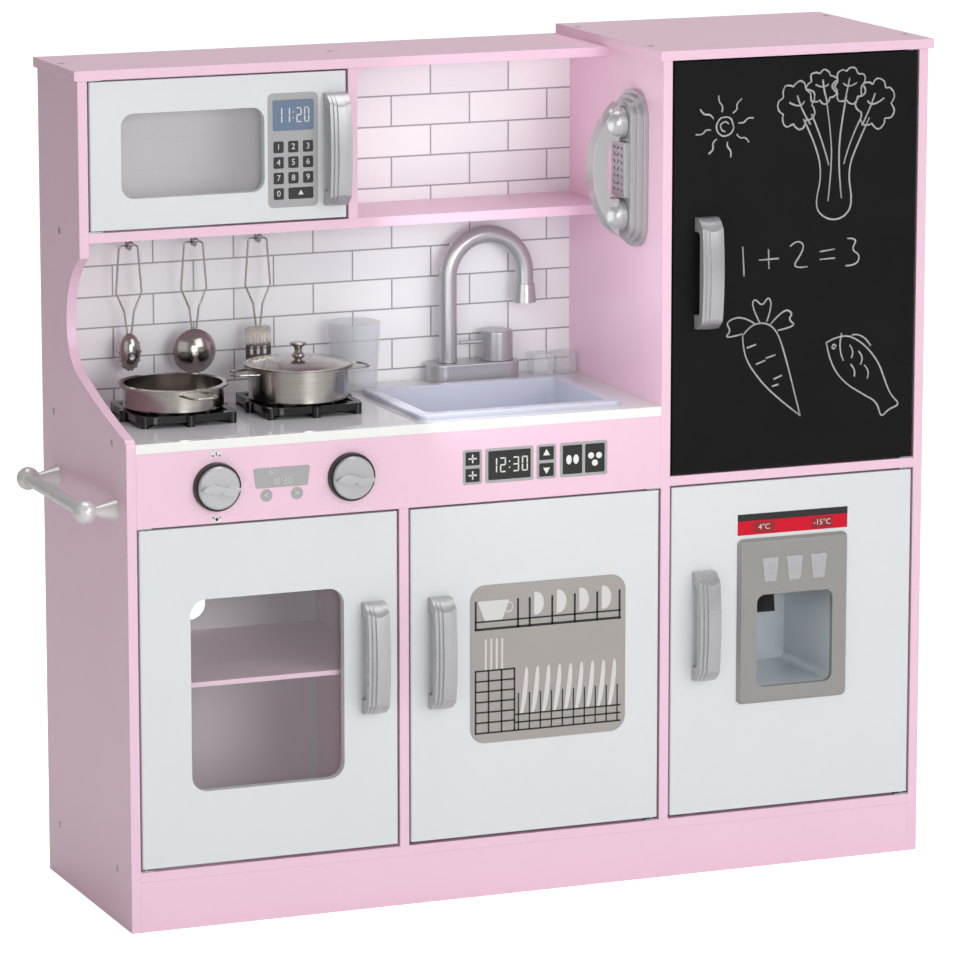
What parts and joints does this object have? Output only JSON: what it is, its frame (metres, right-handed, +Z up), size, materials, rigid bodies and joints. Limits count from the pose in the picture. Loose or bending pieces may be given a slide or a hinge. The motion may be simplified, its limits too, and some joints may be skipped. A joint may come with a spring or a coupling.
{
  "type": "toy kitchen",
  "caption": "Toy kitchen with hinged doors, sink and tap, hob with pots, hanging utensils, wall telephone and side towel rail.",
  "frame": {"origin": "middle of the whole footprint, on the floor", "axes": "+X to the right seen from the front, -Y out of the front, +Z up"},
  "size_m": [0.8353, 0.271, 0.7815],
  "materials": {
    "painted_board": "satin paint on medium-density board",
    "white_board": "satin white lacquer on medium-density board",
    "chalk_board": "matt chalkboard lacquer",
    "worktop_board": "glossy pale grey laminate",
    "tile_board": "hardboard printed with pale tiles",
    "back_board": "white faced hardboard",
    "silver_plastic": "moulded plastic painted silver",
    "black_plastic": "glossy black moulded plastic",
    "sink_plastic": "glossy pale lilac moulded plastic",
    "clear_sheet": "clear acrylic sheet",
    "frosted_plastic": "frosted moulded plastic",
    "steel": "polished and brushed stainless steel",
    "hardware_steel": "zinc plated steel",
    "magnet_plastic": "white plastic catch with a magnet inside",
    "printed_vinyl": "printed vinyl"
  },
  "bodies": {
    "cabinet": {"left_side_panel": "painted_board", "right_side_panel": "painted_board", "fridge_side_panel": "painted_board", "lower_divider": "painted_board", "microwave_divider": "painted_board", "bottom_shelf": "painted_board", "plinth_board": "painted_board", "control_panel": "painted_board", "upper_shelf": "painted_board", "left_top_board": "painted_board", "fridge_top_board": "painted_board", "fridge_mid_shelf": "painted_board", "oven_shelf": "painted_board", "worktop": "worktop_board", "tile_panel": "tile_board", "lower_back_panel": "back_board", "fridge_back_panel": "back_board", "tap_base": "silver_plastic", "phone_base": "silver_plastic", "towel_rail_ends": "silver_plastic", "towel_rail_bar": "silver_plastic", "pan_supports": "black_plastic", "knob_bezels": "black_plastic", "sink_basin": "sink_plastic", "hinge_pins": "hardware_steel", "utensil_hooks": "hardware_steel", "cabinet_screws": "hardware_steel", "door_magnets": "magnet_plastic", "control_stickers": "printed_vinyl"},
    "microwave_door": {"microwave_door": "white_board", "microwave_window": "clear_sheet", "microwave_handle": "silver_plastic", "keypad_sticker": "printed_vinyl"},
    "oven_door": {"oven_door": "white_board", "oven_window": "clear_sheet", "oven_handle": "silver_plastic"},
    "dishwasher_door": {"dishwasher_door": "white_board", "dishwasher_handle": "silver_plastic", "dishwasher_sticker": "printed_vinyl"},
    "freezer_door": {"freezer_door": "chalk_board", "freezer_handle": "silver_plastic"},
    "fridge_door": {"fridge_door": "white_board", "fridge_handle": "silver_plastic", "ice_dispenser": "silver_plastic"},
    "dispenser_lever": {"dispenser_lever": "black_plastic"},
    "left_knob": {"left_knob": "silver_plastic"},
    "right_knob": {"right_knob": "silver_plastic"},
    "tap_spout": {"tap_spout": "silver_plastic"},
    "tap_handle": {"tap_handle": "silver_plastic"},
    "phone_handset": {"phone_handset": "silver_plastic"},
    "pasta_server": {"pasta_server": "steel"},
    "ladle": {"ladle": "steel"},
    "spatula": {"spatula": "steel"},
    "left_pot": {"left_pot": "steel"},
    "right_pot": {"right_pot": "steel"},
    "pot_lid": {"pot_lid": "steel", "lid_knob": "steel"},
    "tumbler": {"tumbler": "frosted_plastic"},
    "left_ice_cube": {"left_ice_cube": "frosted_plastic"},
    "right_ice_cube": {"right_ice_cube": "frosted_plastic"}
  },
  "joints": [
    {"name": "microwave_door_hinge", "type": "hinge", "parent": "cabinet", "child": "microwave_door", "pos_m": [-0.36285, 0.021, 0.6935], "axis": [0, 0, -1], "range_deg": [0, 100]},
    {"name": "oven_door_hinge", "type": "hinge", "parent": "cabinet", "child": "oven_door", "pos_m": [-0.36285, -0.106, 0.2155], "axis": [0, 0, -1], "range_deg": [0, 100]},
    {"name": "dishwasher_door_hinge", "type": "hinge", "parent": "cabinet", "child": "dishwasher_door", "pos_m": [0.13715, -0.106, 0.2155], "axis": [0, 0, 1], "range_deg": [0, 100]},
    {"name": "freezer_door_hinge", "type": "hinge", "parent": "cabinet", "child": "freezer_door", "pos_m": [0.39815, -0.106, 0.57825], "axis": [0, 0, 1], "range_deg": [0, 100]},
    {"name": "fridge_door_hinge", "type": "hinge", "parent": "cabinet", "child": "fridge_door", "pos_m": [0.39815, -0.106, 0.216], "axis": [0, 0, 1], "range_deg": [0, 100]},
    {"name": "dispenser_lever_push", "type": "hinge", "parent": "fridge_door", "child": "dispenser_lever", "pos_m": [0.2803, -0.0325, 0.2708], "axis": [1, 0, 0], "range_deg": [0, 15], "stiffness_Nm_per_rad": 0.05},
    {"name": "left_knob_turn", "type": "hinge", "parent": "cabinet", "child": "left_knob", "pos_m": [-0.29345, -0.1105, 0.4075], "axis": [0, 1, 0], "continuous": true},
    {"name": "right_knob_turn", "type": "hinge", "parent": "cabinet", "child": "right_knob", "pos_m": [-0.16435, -0.1105, 0.4075], "axis": [0, 1, 0], "continuous": true},
    {"name": "tap_spout_swivel", "type": "hinge", "parent": "cabinet", "child": "tap_spout", "pos_m": [0.01015, 0.0895, 0.469], "axis": [0, 0, -1], "range_deg": [0, 150]},
    {"name": "tap_handle_turn", "type": "hinge", "parent": "cabinet", "child": "tap_handle", "pos_m": [0.06015, 0.0895, 0.469], "axis": [0, 0, 1], "range_deg": [0, 90]},
    {"name": "handset_lift", "type": "slide", "parent": "cabinet", "child": "phone_handset", "axis": [-1, 0, 0], "range_m": [0, 0.06]},
    {"name": "pasta_server_swing", "type": "hinge", "parent": "cabinet", "child": "pasta_server", "pos_m": [-0.30865, 0.0865, 0.59675], "axis": [0, 1, 0], "range_deg": [-12, 12]},
    {"name": "ladle_swing", "type": "hinge", "parent": "cabinet", "child": "ladle", "pos_m": [-0.24515, 0.0865, 0.59675], "axis": [0, 1, 0], "range_deg": [-12, 12]},
    {"name": "spatula_swing", "type": "hinge", "parent": "cabinet", "child": "spatula", "pos_m": [-0.18205, 0.0865, 0.59675], "axis": [0, 1, 0], "range_deg": [-12, 12]},
    {"name": "left_pot_lift", "type": "slide", "parent": "cabinet", "child": "left_pot", "axis": [0, 0, 1], "range_m": [0, 0.06]},
    {"name": "right_pot_lift", "type": "slide", "parent": "cabinet", "child": "right_pot", "axis": [0, 0, 1], "range_m": [0, 0.05]},
    {"name": "pot_lid_lift", "type": "slide", "parent": "right_pot", "child": "pot_lid", "axis": [0, 0, 1], "range_m": [0, 0.04]},
    {"name": "tumbler_lift", "type": "slide", "parent": "cabinet", "child": "tumbler", "axis": [0, 0, 1], "range_m": [0, 0.06]},
    {"name": "left_ice_cube_lift", "type": "slide", "parent": "cabinet", "child": "left_ice_cube", "axis": [0, 0, 1], "range_m": [0, 0.05]},
    {"name": "right_ice_cube_lift", "type": "slide", "parent": "cabinet", "child": "right_ice_cube", "axis": [0, 0, 1], "range_m": [0, 0.05]}
  ]
}
